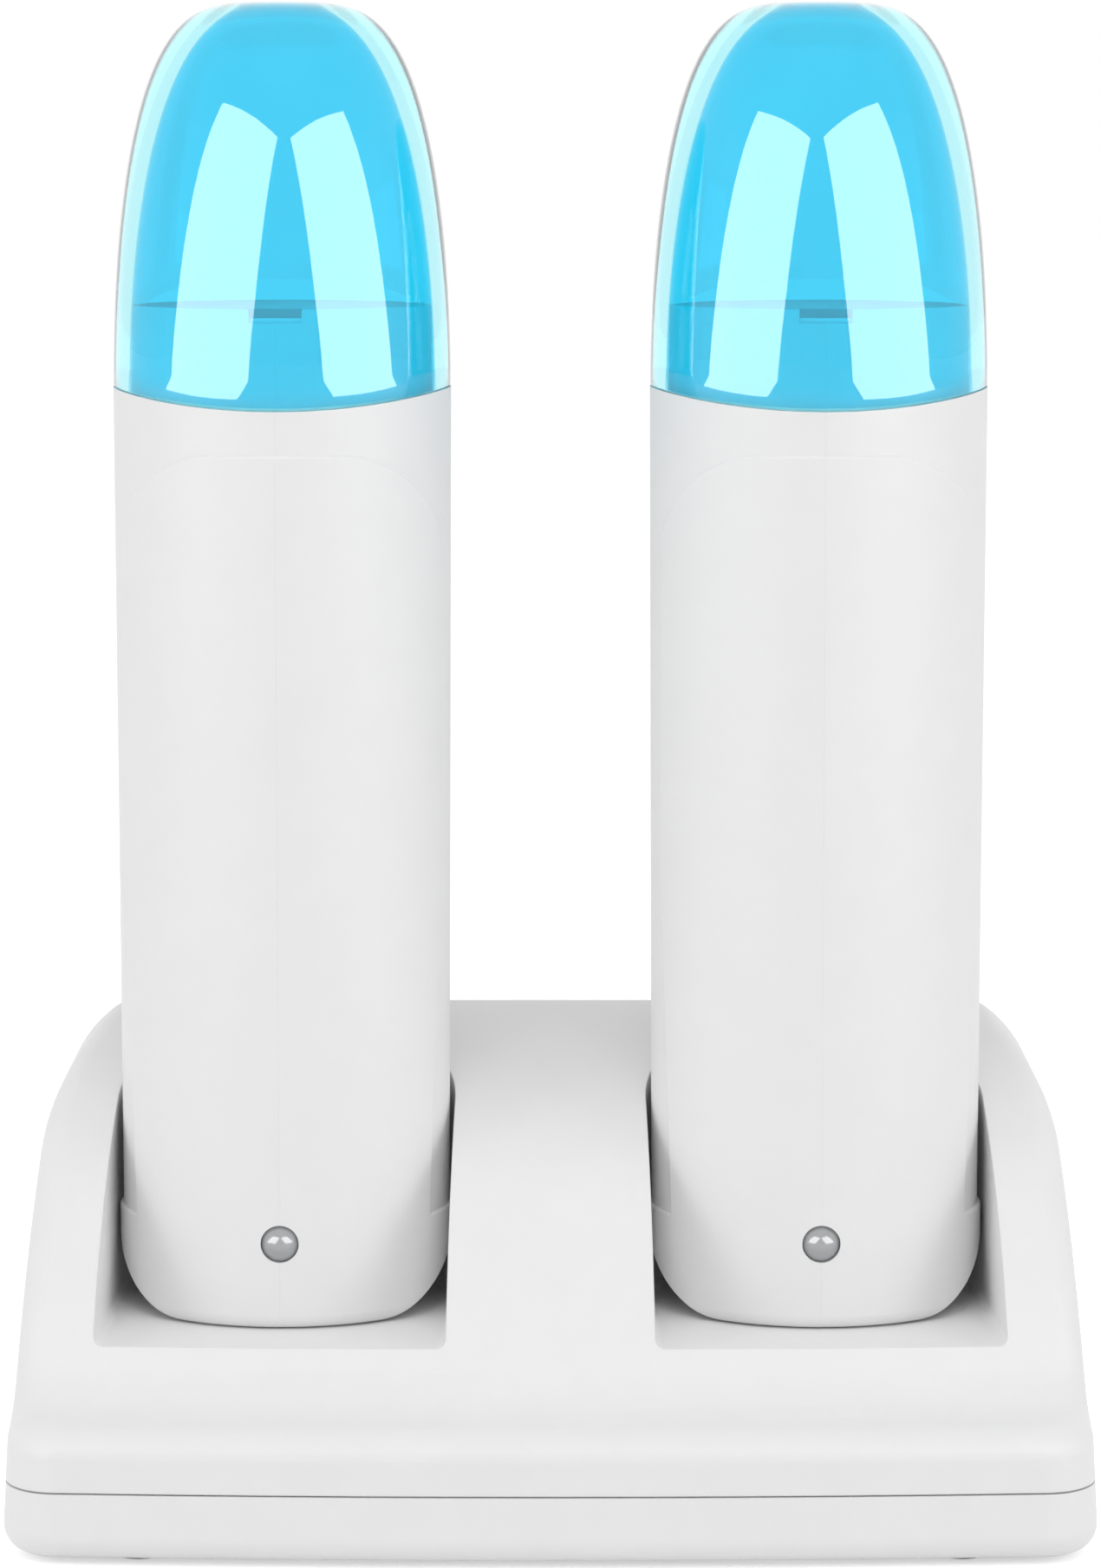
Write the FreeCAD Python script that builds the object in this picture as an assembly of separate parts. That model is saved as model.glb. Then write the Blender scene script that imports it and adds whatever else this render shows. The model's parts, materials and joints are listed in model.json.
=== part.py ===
"""Double roll-on wax heater.

Two hand-held heaters stand in the wells of one docking base. Each heater is a pair of half shells
round an oval heating cup, with a translucent lift-off cap over its collar, and takes its current
through two pins in its foot. Millimetres, +Z up, the front faces -Y, and the origin lies on the
table under the middle of the base.
"""
import FreeCAD, Part
import math
import os

# Base body
BASE_WIDTH = 175.0
BASE_DEPTH = 88.0
BASE_HEIGHT = 75.4
BASE_WALL = 2.2
FRONT_BOW = 2.5
BOW_MARGIN = 1.1
SIDE_DRAFT_DEG = 3.0
SHOULDER_RADIUS = 22.0
SHOULDER_OVERSHOOT = 3.0
SLOPE_DEG = 63.8
TOP_FALL_DEG = 4.0
CREST_FLAT = 8.0
SLOPE_FLAT = 2.0
LEDGE_HEIGHT = 23.7
LEDGE_DEPTH = 12.2
LEDGE_FALL = 2.0
FLARE_RADIUS = 10.0
KNEE_RADIUS = 4.5
CORNER_RADIUS = 9.0
BOTTOM_RADIUS = 4.2
SEAM_HEIGHT = 12.2
SEAM_GAP = 0.25
LIP_HEIGHT = 2.5
LIP_WALL = 1.4
FIT = 0.2

# Wells
WELL_INSET = 43.5
WELL_SETBACK = 5.0
WELL_FLOOR = 31.7
WELL_WALL = 2.0
WELL_CLEARANCE = 0.45
WELL_EDGE_RADIUS = 1.5
MOUTH_FLARE = 2.1
MOUTH_TAPER = 1.5
SEAT_GAP = 0.2

# Feet and base screws
FOOT_RISE = 1.0
FOOT_DIAMETER = 12.0
FOOT_SINK = 1.0
FOOT_INSET_X = 22.0
FOOT_INSET_Y = 13.0
BASE_SCREW_INSET_X = 11.5
BASE_SCREW_INSET_Y = 13.0
BASE_SCREW_HEAD = 5.6
BASE_SCREW_HEAD_HEIGHT = 1.8
BASE_SCREW_SHANK = 2.9
BASE_SCREW_LENGTH = 10.0
BASE_BOSS_DIAMETER = 8.0
SCREW_DRIVE_WIDTH = 0.9
SCREW_DRIVE_LENGTH = 3.2
SCREW_DRIVE_DEPTH = 0.8

# Heater shells
HEATER_WIDTH = 55.4
HEATER_DEPTH = 43.4
HEATER_DRAFT = 0.6
SHELL_WALL = 2.0
SHELL_BOTTOM = 2.4
SHELL_GAP = 0.01
TOE_RADIUS = 13.0
TOE_EDGE = 2.0
RIM_SIDE = 152.4
RIM_DIP = 2.9
PANEL_RISE = 0.6
PANEL_EDGE = 0.5
PANEL_TOP = 142.5
PANEL_WIDTH = 52.0
PANEL_CORNER = 16.0
PANEL_WAIST = 72.0
PANEL_FOOT_WIDTH = 47.2
SHOE_TOP = 16.5

# Collar and cap
CAP_HEIGHT = 62.6
CAP_WALL = 2.4
CAP_GAP = 0.25
COLLAR_FIT = 0.4
COLLAR_TOP = 165.8
COLLAR_WALL = 1.5
NOTCH_WIDTH = 8.4
NOTCH_DEPTH = 2.2
DOME_POINTS = 8

# Heating cup and heater
CUP_FIT = 0.3
CUP_WALL = 0.9
CUP_FLOOR = 56.0
CUP_FLOOR_THICKNESS = 1.2
CUP_FLANGE = 0.6
CUP_FLANGE_DROP = 1.5
SHELF_THICKNESS = 2.0
SHELF_WIDTH = 3.6
PTC_LENGTH = 24.0
PTC_WIDTH = 14.0
PTC_THICKNESS = 4.0
PTC_TAB_LENGTH = 3.0
PTC_TAB_WIDTH = 4.0
PTC_TAB_THICKNESS = 0.6
PTC_TAB_X = 8.0
STRAP_WIDTH = 9.0
STRAP_THICKNESS = 0.8
STRAP_FLANGE = 4.0
FUSE_DIAMETER = 3.2
FUSE_LENGTH = 9.0
FUSE_LEAD = 0.8

# Indicator lamp
LAMP_HEIGHT = 14.1
LAMP_DIAMETER = 6.0
LAMP_PROUD = 0.9
LAMP_FLANGE = 7.4
LAMP_FLANGE_THICKNESS = 1.2
LAMP_FIT = 0.1
BOARD_WIDTH = 16.0
BOARD_HEIGHT = 13.0
BOARD_THICKNESS = 1.6
RAIL_GRIP = 1.0
RAIL_WALL = 1.2

# Power pins and dock
PIN_DIAMETER = 2.4
PIN_PITCH = 8.6
PIN_TAIL = 4.0
PIN_FIT = 0.05
TOWER_WIDTH = 16.0
TOWER_DEPTH = 9.0
TOWER_HEIGHT = 9.5
TOWER_CORNER = 3.0
TOWER_FIT = 0.4
TOWER_HEADROOM = 1.6
INLET_WALL = 1.8
INLET_ROOF = 4.0
CRADLE_WALL = 1.6
CRADLE_HEIGHT = 8.0
SLEEVE_WALL = 0.5
SLEEVE_FIT = 0.2
SLEEVE_TAIL = 4.0
SLEEVE_CAP = 1.0
PIN_TIP = 1.2
DOCK_FLANGE = 4.0
DOCK_FLANGE_THICKNESS = 2.5
DOCK_DROP = 9.0
POST_WALL = 1.6

# Shell screws
SHELL_SCREW_OFFSET = 12.0
SHELL_SCREW_HEIGHTS = (19.5, 34.0)
SHELL_SCREW_SHANK = 2.6
SHELL_SCREW_HEAD = 5.0
SHELL_SCREW_HEAD_HEIGHT = 1.6
SHELL_SCREW_SINK = 9.5
SHELL_SCREW_GRIP = 8.0
SHELL_BOSS_DIAMETER = 6.6

# Mains inlet
MAINS_WIDTH = 17.6
MAINS_HEIGHT = 9.0
MAINS_DEPTH = 11.0
MAINS_WALL = 2.0
MAINS_BACK = 4.0
MAINS_FLANGE = 3.0
MAINS_FLANGE_THICKNESS = 2.0
MAINS_CENTRE = 25.2
MAINS_PIN_SINK = 1.5

# Wires
WIRE_DIAMETER = 2.0
LAMP_WIRE_DIAMETER = 1.2
TERMINAL_RUN = 7.0
LINK_TURN = 26.0
LINK_SPREAD = 16.0
BEND_SHARE = 0.45

OVERRUN = 1.0
TINY = 1e-6
SHARP_ANGLE = 0.15
FAR = 400.0
OVAL = HEATER_DEPTH / HEATER_WIDTH
BASE_BOTTOM = FOOT_RISE
WELL_PITCH = BASE_WIDTH - 2 * WELL_INSET
BASE_BACK = BASE_DEPTH / 2
BASE_FRONT = -BASE_DEPTH / 2
SLOPE = math.radians(SLOPE_DEG)
TOP_FALL = math.radians(TOP_FALL_DEG)
SIDE_SLANT = math.tan(math.radians(SIDE_DRAFT_DEG))
RIM_FRONT = RIM_SIDE - RIM_DIP
RIM_RADIUS = HEATER_WIDTH ** 2 / 8 / RIM_DIP + RIM_DIP / 2
CAP_TOP = RIM_SIDE + CAP_HEIGHT
CAP_INSIDE = HEATER_WIDTH / 2 - CAP_WALL
COLLAR_SHARE = (COLLAR_TOP - RIM_SIDE) / (CAP_HEIGHT - CAP_WALL)
COLLAR_RADIUS = CAP_INSIDE * (1 - COLLAR_SHARE ** 2) ** 0.25 - COLLAR_FIT
BORE_RADIUS = COLLAR_RADIUS - COLLAR_WALL
CUP_RADIUS = BORE_RADIUS - CUP_FIT
CUP_TOP = COLLAR_TOP - CUP_FLANGE_DROP
INLET_TOP = TOWER_HEIGHT + TOWER_HEADROOM + INLET_ROOF
HEATER_BOTTOM = WELL_FLOOR + SEAT_GAP
SIDES = {"left": -1, "right": 1}


def vec(x, y, z):
    """Point or direction."""
    return FreeCAD.Vector(x, y, z)


def box(x0, x1, y0, y1, z0, z1):
    """Block between two corners."""
    return Part.makeBox(x1 - x0, y1 - y0, z1 - z0, vec(x0, y0, z0))


def rod(start, direction, diameter, length):
    """Round bar from a point along a direction."""
    return Part.makeCylinder(diameter / 2, length, start, direction)


def rounded_path(corners, closed=True):
    """Wire through (point, radius) corners, with a tangent arc at each corner that has a radius."""
    count = len(corners)
    entries, exits, arcs = [], [], []
    for i, (point, radius) in enumerate(corners):
        entry = leave = point
        arc = None
        if radius > 0 and (closed or 0 < i < count - 1):
            back = (corners[i - 1][0] - point).normalize()
            ahead = (corners[(i + 1) % count][0] - point).normalize()
            half = back.getAngle(ahead) / 2
            entry = point + back * (radius / math.tan(half))
            leave = point + ahead * (radius / math.tan(half))
            middle = point + (back + ahead).normalize() * (radius / math.sin(half) - radius)
            arc = Part.Arc(entry, middle, leave).toShape()
        entries.append(entry)
        exits.append(leave)
        arcs.append(arc)
    edges = []
    for i in range(count):
        if arcs[i]:
            edges.append(arcs[i])
        last = not closed and i == count - 1
        if not last and (entries[(i + 1) % count] - exits[i]).Length > TINY:
            edges.append(Part.LineSegment(exits[i], entries[(i + 1) % count]).toShape())
    return Part.Wire(edges)


def rounded_slab(width, depth, radius, z0, z1, x=0.0, y=0.0):
    """Upright block with rounded plan corners, centred on (x, y)."""
    half_w, half_d = width / 2, depth / 2
    signs = ((-1, -1), (1, -1), (1, 1), (-1, 1))
    corners = [(vec(x + sx * half_w, y + sy * half_d, z0), radius) for sx, sy in signs]
    return Part.Face(rounded_path(corners)).extrude(vec(0, 0, z1 - z0))


def oval_turn(outline):
    """Half outline in XZ turned about Z, then squeezed in Y to the heater's oval."""
    turned = Part.Face(outline).revolve(vec(0, 0, 0), vec(0, 0, 1), 360)
    squeeze = FreeCAD.Matrix()
    squeeze.scale(1, OVAL, 1)
    return turned.transformGeometry(squeeze)


def oval(points):
    """Oval solid from straight (radius, height) runs, closed along the axis."""
    return oval_turn(Part.makePolygon([vec(r, 0, z) for r, z in points + points[:1]]))


def oval_cylinder(radius, z0, z1):
    """Upright oval prism of one half width."""
    return oval([(0, z0), (radius, z0), (radius, z1), (0, z1)])


def wire_run(points, diameter):
    """Insulated wire through the points, with bends as wide as its runs allow."""
    corners = [(points[0], 0)]
    for before, here, after in zip(points, points[1:], points[2:]):
        turn = (here - before).getAngle(after - here)
        shorter = min((here - before).Length, (after - here).Length)
        corners.append((here, BEND_SHARE * shorter / math.tan(turn / 2)))
    corners.append((points[-1], 0))
    path = rounded_path(corners, closed=False)
    section = Part.makeCircle(diameter / 2, points[0], points[1] - points[0])
    return path.makePipeShell([Part.Wire(section)], True, False)


def screw(head_top, direction, head, head_height, shank, length):
    """Pan-head screw with a cross drive; direction points from the head to the tip."""
    along = vec(*direction).normalize()
    body = rod(head_top, along, head, head_height).fuse(rod(head_top, along, shank, length))
    turn = FreeCAD.Rotation(vec(0, 0, 1), along)
    for angle in (0, 90):
        slot = box(-SCREW_DRIVE_LENGTH / 2, SCREW_DRIVE_LENGTH / 2,
                   -SCREW_DRIVE_WIDTH / 2, SCREW_DRIVE_WIDTH / 2, -OVERRUN, SCREW_DRIVE_DEPTH)
        slot.rotate(vec(0, 0, 0), vec(0, 0, 1), angle)
        slot.Placement = FreeCAD.Placement(head_top, turn) * slot.Placement
        body = body.cut(slot)
    return body


def base_profile():
    """Side outline of the base in YZ: crest arc, slope, flared ledge, knee and upright front."""
    flare_turn = SLOPE - math.atan2(LEDGE_FALL, LEDGE_DEPTH)
    flare_reach = FLARE_RADIUS * math.tan(flare_turn / 2)
    slope_foot = BASE_FRONT + LEDGE_DEPTH
    profile_back = BASE_BACK + 2 * FRONT_BOW
    fall, climb = math.tan(TOP_FALL), math.tan(SLOPE)
    crest_y = (BASE_HEIGHT - BASE_BACK * fall - LEDGE_HEIGHT + slope_foot * climb) / (climb - fall)
    crest_z = BASE_HEIGHT - (BASE_BACK - crest_y) * fall
    top_z = BASE_HEIGHT + (profile_back - BASE_BACK) * fall
    top_run = (BASE_BACK - CREST_FLAT - crest_y) / math.cos(TOP_FALL)
    slope_run = (crest_z - LEDGE_HEIGHT) / math.sin(SLOPE) - flare_reach - SLOPE_FLAT
    crest_radius = min(top_run, slope_run) / math.tan((SLOPE - TOP_FALL) / 2)
    return rounded_path([
        (vec(0, profile_back, BASE_BOTTOM), 0),
        (vec(0, profile_back, top_z), 0),
        (vec(0, crest_y, crest_z), crest_radius),
        (vec(0, slope_foot, LEDGE_HEIGHT), FLARE_RADIUS),
        (vec(0, BASE_FRONT, LEDGE_HEIGHT - LEDGE_FALL), 0),
        (vec(0, BASE_FRONT, BASE_BOTTOM), 0),
    ])


def base_end_view(inset):
    """Front outline of the base in XZ: drafted sides that roll over into the top."""
    top = BASE_HEIGHT + SHOULDER_OVERSHOOT - inset
    foot = BASE_WIDTH / 2 - inset
    brow = foot - (top - BASE_BOTTOM) * SIDE_SLANT
    radius = SHOULDER_RADIUS - inset
    corners = [
        (vec(-foot, -FAR / 2, BASE_BOTTOM - OVERRUN), 0),
        (vec(foot, -FAR / 2, BASE_BOTTOM - OVERRUN), 0),
        (vec(brow, -FAR / 2, top), radius),
        (vec(-brow, -FAR / 2, top), radius),
    ]
    return Part.Face(rounded_path(corners)).extrude(vec(0, FAR, 0))


def base_form(inset=0.0):
    """Whole outside of the base, or with an inset the hollow that leaves that wall."""
    outline = base_profile()
    if inset:
        outline = outline.makeOffset2D(-inset)
    bow_radius = (BASE_WIDTH / 2) ** 2 / 2 / FRONT_BOW + FRONT_BOW / 2
    axis = vec(0, BASE_FRONT + bow_radius, 0)
    sweep = math.degrees(2 * math.asin(BOW_MARGIN * BASE_WIDTH / 2 / bow_radius))
    face = Part.Face(outline)
    face.rotate(axis, vec(0, 0, 1), -sweep / 2)
    form = face.revolve(axis, vec(0, 0, 1), sweep)
    form = form.common(box(-FAR, FAR, -FAR, BASE_BACK - inset, 0, FAR)).common(base_end_view(inset))
    form = form.makeFillet(CORNER_RADIUS - inset, front_uprights(form))
    if inset:
        return form
    return round_base(form)


def front_uprights(form):
    """Two upright edges at the front corners."""
    found = []
    for edge in form.Edges:
        room = edge.BoundBox
        if room.YMax < 0 and room.ZMin < SEAM_HEIGHT and room.ZLength > max(room.XLength, room.YLength):
            found.append(edge)
    return found


def sharp_edges(form, low, high):
    """Edges between two heights where the two faces beside them don't run smoothly into each other."""
    found = []
    for edge in form.Edges:
        if edge.BoundBox.ZMin < low - TINY or edge.BoundBox.ZMax > high + TINY:
            continue
        middle = edge.valueAt((edge.FirstParameter + edge.LastParameter) / 2)
        normals = [f.normalAt(*f.Surface.parameter(middle)) for f in form.ancestorsOfType(edge, Part.Face)]
        if normals[0].getAngle(normals[-1]) > SHARP_ANGLE:
            found.append(edge)
    return found


def round_base(form):
    """Rounds the upper edge with the back corners, then the bottom edge."""
    form = form.makeFillet(KNEE_RADIUS, sharp_edges(form, BASE_BOTTOM + TINY * 2, FAR))
    return form.makeFillet(BOTTOM_RADIUS, sharp_edges(form, BASE_BOTTOM, SEAM_HEIGHT))


def shell_radius(height):
    """Half width of the heater's flank at a height above its foot."""
    return HEATER_WIDTH / 2 - HEATER_DRAFT * (1 - height / RIM_SIDE)


def wall_y(x, height):
    """Distance in Y from the heater's axis to the inside of its shell at x."""
    return OVAL * math.sqrt((shell_radius(height) - SHELL_WALL) ** 2 - x ** 2)


def heater_cone(grow, bottom, top, edge=0.0):
    """Heater's drafted oval body between two heights, grown sideways, with its bottom edge rounded."""
    return oval_turn(rounded_path([
        (vec(0, 0, bottom), 0),
        (vec(shell_radius(bottom) + grow, 0, bottom), edge),
        (vec(shell_radius(top) + grow, 0, top), 0),
        (vec(0, 0, top), 0),
    ]))


def toe_block(inset):
    """Front view of the heater's foot with its rounded bottom corners, as a block right through in Y."""
    half = shell_radius(0) + PANEL_RISE - inset
    low = SHELL_BOTTOM if inset else 0
    corners = [
        (vec(-half, -FAR / 2, low), TOE_RADIUS - inset),
        (vec(half, -FAR / 2, low), TOE_RADIUS - inset),
        (vec(half + HEATER_DRAFT, -FAR / 2, FAR), 0),
        (vec(-half - HEATER_DRAFT, -FAR / 2, FAR), 0),
    ]
    return Part.Face(rounded_path(corners)).extrude(vec(0, FAR, 0))


def panel_block():
    """Outline of the raised front and back panels: an arch that narrows towards the shoe."""
    half, foot = PANEL_WIDTH / 2, PANEL_FOOT_WIDTH / 2
    corners = [
        (vec(-foot, -FAR / 2, -OVERRUN), 0),
        (vec(foot, -FAR / 2, -OVERRUN), 0),
        (vec(half, -FAR / 2, PANEL_WAIST), 0),
        (vec(half, -FAR / 2, PANEL_TOP), PANEL_CORNER),
        (vec(-half, -FAR / 2, PANEL_TOP), PANEL_CORNER),
        (vec(-half, -FAR / 2, PANEL_WAIST), 0),
    ]
    return Part.Face(rounded_path(corners)).extrude(vec(0, FAR, 0))


def rim_cylinder(gap):
    """Lying cylinder whose underside is the dipped parting line between heater and cap."""
    start = vec(0, -FAR / 2, RIM_FRONT + RIM_RADIUS)
    return rod(start, vec(0, 1, 0), 2 * (RIM_RADIUS - gap), FAR)


def raised_panels():
    """Front and back panels with the shoe below them, soft along their outer edge."""
    raised = panel_block().fuse(box(-FAR, FAR, -FAR, FAR, -OVERRUN, SHOE_TOP))
    panels = heater_cone(PANEL_RISE, 0, RIM_SIDE, TOE_EDGE).common(raised)
    border = []
    for edge in sharp_edges(panels, SHOE_TOP, RIM_SIDE):
        straight_through = edge.BoundBox.XLength < TINY and edge.BoundBox.ZLength < TINY
        if not straight_through:
            border.append(edge)
    return panels.makeFillet(PANEL_EDGE, border)


def shell_outside():
    """Outside of both half shells: body, raised panels, shoe and collar."""
    body = heater_cone(0, 0, RIM_SIDE, TOE_EDGE).fuse(raised_panels())
    body = body.common(toe_block(0)).cut(rim_cylinder(0))
    return body.fuse(oval_cylinder(COLLAR_RADIUS, PANEL_TOP, COLLAR_TOP))


def shell_inside():
    """Room inside the half shells: toe block's floor, wide body, neck and the step for the cup's flange."""
    neck = RIM_FRONT - CAP_WALL - SHELL_WALL
    wide = shell_radius(neck) - SHELL_WALL
    seat = CUP_RADIUS + CUP_FLANGE + FIT
    ledge = CUP_TOP - CUP_WALL
    room = oval([
        (0, 0),
        (shell_radius(0) - SHELL_WALL, 0),
        (wide, neck - (wide - BORE_RADIUS)),
        (BORE_RADIUS, neck),
        (BORE_RADIUS, ledge),
        (seat, ledge),
        (seat, COLLAR_TOP + OVERRUN),
        (0, COLLAR_TOP + OVERRUN),
    ])
    return room.common(toe_block(SHELL_WALL))


def board_front():
    """Y of the lamp board's front face, behind the lamp's flange."""
    return -wall_y(LAMP_FLANGE / 2, LAMP_HEIGHT) + LAMP_FIT + LAMP_FLANGE_THICKNESS


def lamp_rails():
    """Pair of slotted rails that hold the lamp board by its edges."""
    inner, outer = BOARD_WIDTH / 2 - RAIL_GRIP, BOARD_WIDTH / 2 + FIT + RAIL_WALL
    face = board_front()
    front = -wall_y(inner, LAMP_HEIGHT) - SHELL_WALL / 4
    back = face + BOARD_THICKNESS + FIT + RAIL_WALL
    low, high = LAMP_HEIGHT - BOARD_HEIGHT / 2, LAMP_HEIGHT + BOARD_HEIGHT / 2
    rails = box(inner, outer, front, back, low, high).fuse(box(-outer, -inner, front, back, low, high))
    slot = BOARD_WIDTH / 2 + FIT
    back = face + BOARD_THICKNESS + FIT
    return rails.cut(box(-slot, slot, face - FIT, back, low - OVERRUN, high + OVERRUN))


def inlet_outline(grow, z0, z1):
    """Rounded block of the heater's inlet opening, grown all round."""
    return rounded_slab(TOWER_WIDTH + 2 * grow, TOWER_DEPTH + 2 * grow, TOWER_CORNER, z0, z1)


def shell_ribs():
    """Ribs inside the shells: cup shelf, lamp rails, inlet cradle and screw bosses."""
    shelf = heater_cone(-SHELL_WALL / 2, CUP_FLOOR - SHELF_THICKNESS, CUP_FLOOR)
    ribs = shelf.cut(oval_cylinder(CUP_RADIUS - SHELF_WIDTH, 0, FAR)).fuse(lamp_rails())
    cradle = TOWER_WIDTH / 2 + TOWER_FIT + INLET_WALL + FIT
    depth = TOWER_DEPTH / 2
    top = SHELL_BOTTOM + CRADLE_HEIGHT
    for side in (-1, 1):
        x0, x1 = sorted((side * cradle, side * (cradle + CRADLE_WALL)))
        ribs = ribs.fuse(box(x0, x1, -depth, depth, SHELL_BOTTOM / 2, top))
    for height in SHELL_SCREW_HEIGHTS:
        reach = shell_radius(height) - SHELL_WALL / 2
        boss = rod(vec(-reach, SHELL_SCREW_OFFSET, height), vec(1, 0, 0), SHELL_BOSS_DIAMETER, 2 * reach)
        ribs = ribs.fuse(boss.common(heater_cone(-SHELL_WALL / 2, 0, RIM_SIDE)))
    return ribs


def screw_holes():
    """Stepped bores for the two shell screws: head sink and clearance on the right, grip on the left."""
    head_top = HEATER_WIDTH / 2 - SHELL_SCREW_SINK
    seat = head_top - SHELL_SCREW_HEAD_HEIGHT
    grip, shank = SHELL_SCREW_SHANK / 2 + PIN_FIT, SHELL_SCREW_SHANK / 2 + FIT
    head = SHELL_SCREW_HEAD / 2 + FIT
    end = -SHELL_SCREW_GRIP - FIT
    steps = [(end, 0), (end, grip), (0, grip), (0, shank), (seat, shank), (seat, head), (FAR, head), (FAR, 0)]
    holes = []
    for height in SHELL_SCREW_HEIGHTS:
        centre = vec(0, SHELL_SCREW_OFFSET, height)
        outline = Part.makePolygon([centre + vec(x, 0, r) for x, r in steps + steps[:1]])
        holes.append(Part.Face(outline).revolve(centre, vec(1, 0, 0), 360))
    return holes


def half_shells():
    """Left and right half shells, split at the middle with a hairline joint."""
    whole = shell_outside().cut(shell_inside()).fuse(shell_ribs())
    lamp_hole = rod(vec(0, 0, LAMP_HEIGHT), vec(0, -1, 0), LAMP_DIAMETER + 2 * LAMP_FIT, FAR)
    notch = box(-NOTCH_WIDTH / 2, NOTCH_WIDTH / 2, -FAR, 0, COLLAR_TOP - NOTCH_DEPTH, FAR)
    inlet = inlet_outline(TOWER_FIT, -OVERRUN, SHELL_BOTTOM + OVERRUN)
    whole = whole.cut([lamp_hole, notch, inlet] + screw_holes())
    gap = SHELL_GAP / 2
    left = whole.common(box(-FAR, -gap, -FAR, FAR, -FAR, FAR))
    right = whole.common(box(gap, FAR, -FAR, FAR, -FAR, FAR))
    return left, right


def dome(half_width, height):
    """Half outline of a flat-topped dome over the rim: r to the fourth falls with height squared."""
    points = []
    for i in range(DOME_POINTS + 1):
        angle = math.pi / 2 * (1 - (1 - i / DOME_POINTS) ** 2)
        reach = half_width * math.sqrt(max(math.cos(angle), 0))
        points.append(vec(reach, 0, RIM_SIDE + height * math.sin(angle)))
    points[-1].x = 0
    curve = Part.BSplineCurve()
    curve.interpolate(Points=points, InitialTangent=vec(0, 0, 1), FinalTangent=vec(-1, 0, 0))
    return curve.toShape()


def cap_shell():
    """Translucent cap: a domed oval shell whose rim follows the dipped parting line."""
    outer, inner = HEATER_WIDTH / 2, CAP_INSIDE
    skirt = RIM_FRONT - OVERRUN
    line = Part.LineSegment
    edges = [
        line(vec(inner, 0, skirt), vec(outer, 0, skirt)).toShape(),
        line(vec(outer, 0, skirt), vec(outer, 0, RIM_SIDE)).toShape(),
        dome(outer, CAP_HEIGHT),
        line(vec(0, 0, CAP_TOP), vec(0, 0, CAP_TOP - CAP_WALL)).toShape(),
        dome(inner, CAP_HEIGHT - CAP_WALL),
        line(vec(inner, 0, RIM_SIDE), vec(inner, 0, skirt)).toShape(),
    ]
    outline = Part.Wire(Part.__sortEdges__(edges))
    return oval_turn(outline).common(rim_cylinder(CAP_GAP))


def heating_cup():
    """Drawn aluminium cup for the wax cartridge, with a flange that rests in the collar."""
    inside = CUP_RADIUS - CUP_WALL
    return oval([
        (0, CUP_FLOOR),
        (CUP_RADIUS, CUP_FLOOR),
        (CUP_RADIUS, CUP_TOP - CUP_WALL),
        (CUP_RADIUS + CUP_FLANGE, CUP_TOP - CUP_WALL),
        (CUP_RADIUS + CUP_FLANGE, CUP_TOP),
        (inside, CUP_TOP),
        (inside, CUP_FLOOR + CUP_FLOOR_THICKNESS),
        (0, CUP_FLOOR + CUP_FLOOR_THICKNESS),
    ])


def ptc_heater():
    """Flat heating element under the cup's floor, with a terminal tab at the front and the back."""
    bottom = CUP_FLOOR - PTC_THICKNESS
    half = PTC_WIDTH / 2
    plate = box(-PTC_LENGTH / 2, PTC_LENGTH / 2, -half, half, bottom, CUP_FLOOR)
    tab_low = CUP_FLOOR - PTC_THICKNESS / 2 - PTC_TAB_THICKNESS / 2
    tabs = box(-PTC_TAB_X - PTC_TAB_WIDTH / 2, -PTC_TAB_X + PTC_TAB_WIDTH / 2,
               -half - PTC_TAB_LENGTH, half + PTC_TAB_LENGTH, tab_low, tab_low + PTC_TAB_THICKNESS)
    return plate.fuse(tabs)


def heater_strap():
    """Spring strap bent round the element and fixed flat to the cup's floor."""
    web = PTC_LENGTH / 2 + FIT
    side = web + STRAP_THICKNESS
    flange = side + STRAP_FLANGE
    low = CUP_FLOOR - PTC_THICKNESS - STRAP_THICKNESS
    foot = CUP_FLOOR - STRAP_THICKNESS
    half = [(web, low + STRAP_THICKNESS), (web, CUP_FLOOR), (flange, CUP_FLOOR),
            (flange, foot), (side, foot), (side, low)]
    run = half + [(-x, z) for x, z in reversed(half)]
    outline = Part.makePolygon([vec(x, -STRAP_WIDTH / 2, z) for x, z in run + run[:1]])
    return Part.Face(outline).extrude(vec(0, STRAP_WIDTH, 0))


def fuse_place():
    """Start of the thermal fuse's body, beside the element and just under the cup."""
    y = PTC_WIDTH / 2 + FIT + FUSE_DIAMETER / 2
    return vec(-PTC_TAB_X + PTC_TAB_WIDTH / 2 + FUSE_LENGTH / 2, y, CUP_FLOOR - FIT / 2 - FUSE_DIAMETER / 2)


def thermal_fuse():
    """Thermal cut-out with a lead at each end; its left lead meets the element's back tab."""
    place = fuse_place()
    along = vec(1, 0, 0)
    body = rod(place, along, FUSE_DIAMETER, FUSE_LENGTH)
    tab_edge = -PTC_TAB_X + PTC_TAB_WIDTH / 2
    lead_length = place.x - tab_edge
    leads = rod(vec(tab_edge, place.y, place.z), along, FUSE_LEAD, 2 * lead_length + FUSE_LENGTH)
    return body.fuse(leads)


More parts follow.
